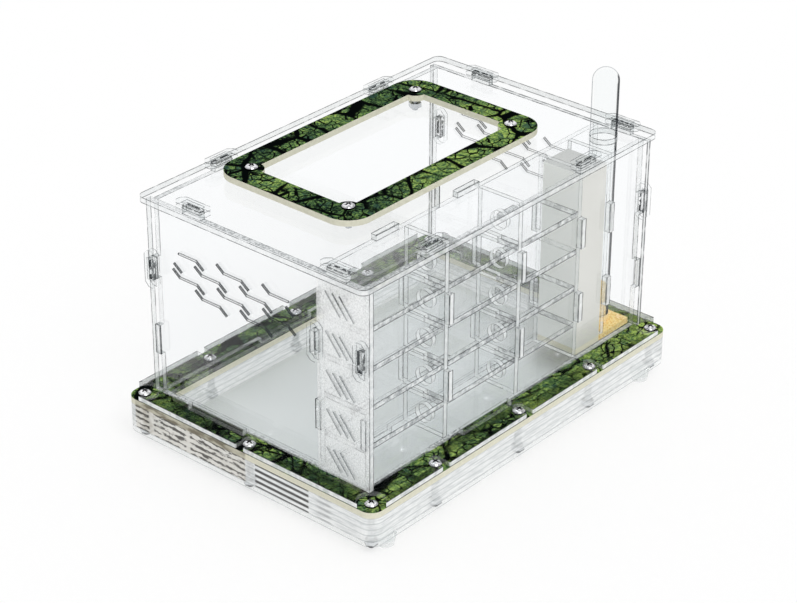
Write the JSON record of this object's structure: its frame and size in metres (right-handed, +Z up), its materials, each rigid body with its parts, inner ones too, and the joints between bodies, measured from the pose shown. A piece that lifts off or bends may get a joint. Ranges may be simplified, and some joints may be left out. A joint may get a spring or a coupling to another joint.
{
  "type": "ant habitat",
  "caption": "Clear ant habitat: a layered tray, a glazed box with nest rooms and a water tower along its front, and a lift-off lid held by keys.",
  "frame": {"origin": "on the ground under the middle of the base", "axes": "+Z up, +X along the long side towards the water tube, -Y the front with the nest"},
  "size_m": [0.22, 0.155, 0.164],
  "materials": {
    "clear_sheet": "clear polished acrylic sheet",
    "tray_sheet": "clear acrylic sheet in a stack",
    "printed_sheet": "glossy dark green leaf pattern on top, cream edges",
    "screw_metal": "polished",
    "clear_rubber": "clear soft bumper",
    "floor_sheet": "satin pale grey",
    "plaster": "matte, fine pores",
    "orange_sponge": "open cell sponge",
    "plug_foam": "fine foam",
    "tube_plastic": "clear thin tube"
  },
  "bodies": {
    "enclosure": {"base_plate": "clear_sheet", "tray_frame_1": "tray_sheet", "tray_frame_2": "tray_sheet", "tray_frame_3": "tray_sheet", "tray_frame_4": "tray_sheet", "printed_base_frame": "printed_sheet", "top_plate": "clear_sheet", "floor_sheet": "floor_sheet", "rubber_feet": "clear_rubber", "base_screws": "screw_metal", "base_nuts": "screw_metal", "front_wall": "clear_sheet", "back_wall": "clear_sheet", "left_wall": "clear_sheet", "right_wall": "clear_sheet", "wall_keys": "clear_sheet", "nest_partition": "clear_sheet", "nest_divider_left": "clear_sheet", "nest_divider_middle": "clear_sheet", "nest_shelf_1": "clear_sheet", "nest_shelf_2": "clear_sheet", "nest_shelf_3": "clear_sheet", "nest_shelf_4": "clear_sheet", "tower_plate_left": "clear_sheet", "tower_plate_right": "clear_sheet", "plaster_block": "plaster", "sponge_pad": "orange_sponge"},
    "lid": {"lid_plate": "clear_sheet", "printed_lid_frame": "printed_sheet", "lid_screws": "screw_metal", "lid_nuts": "screw_metal", "lid_keys": "clear_sheet"},
    "tube": {"water_tube": "tube_plastic", "tube_plug": "plug_foam"}
  },
  "joints": [
    {"name": "lid_lift", "type": "slide", "parent": "enclosure", "child": "lid", "axis": [0, 0, 1], "range_m": [0, 0.06]},
    {"name": "tube_lift", "type": "slide", "parent": "enclosure", "child": "tube", "axis": [0, 0, 1], "range_m": [0, 0.11]}
  ]
}
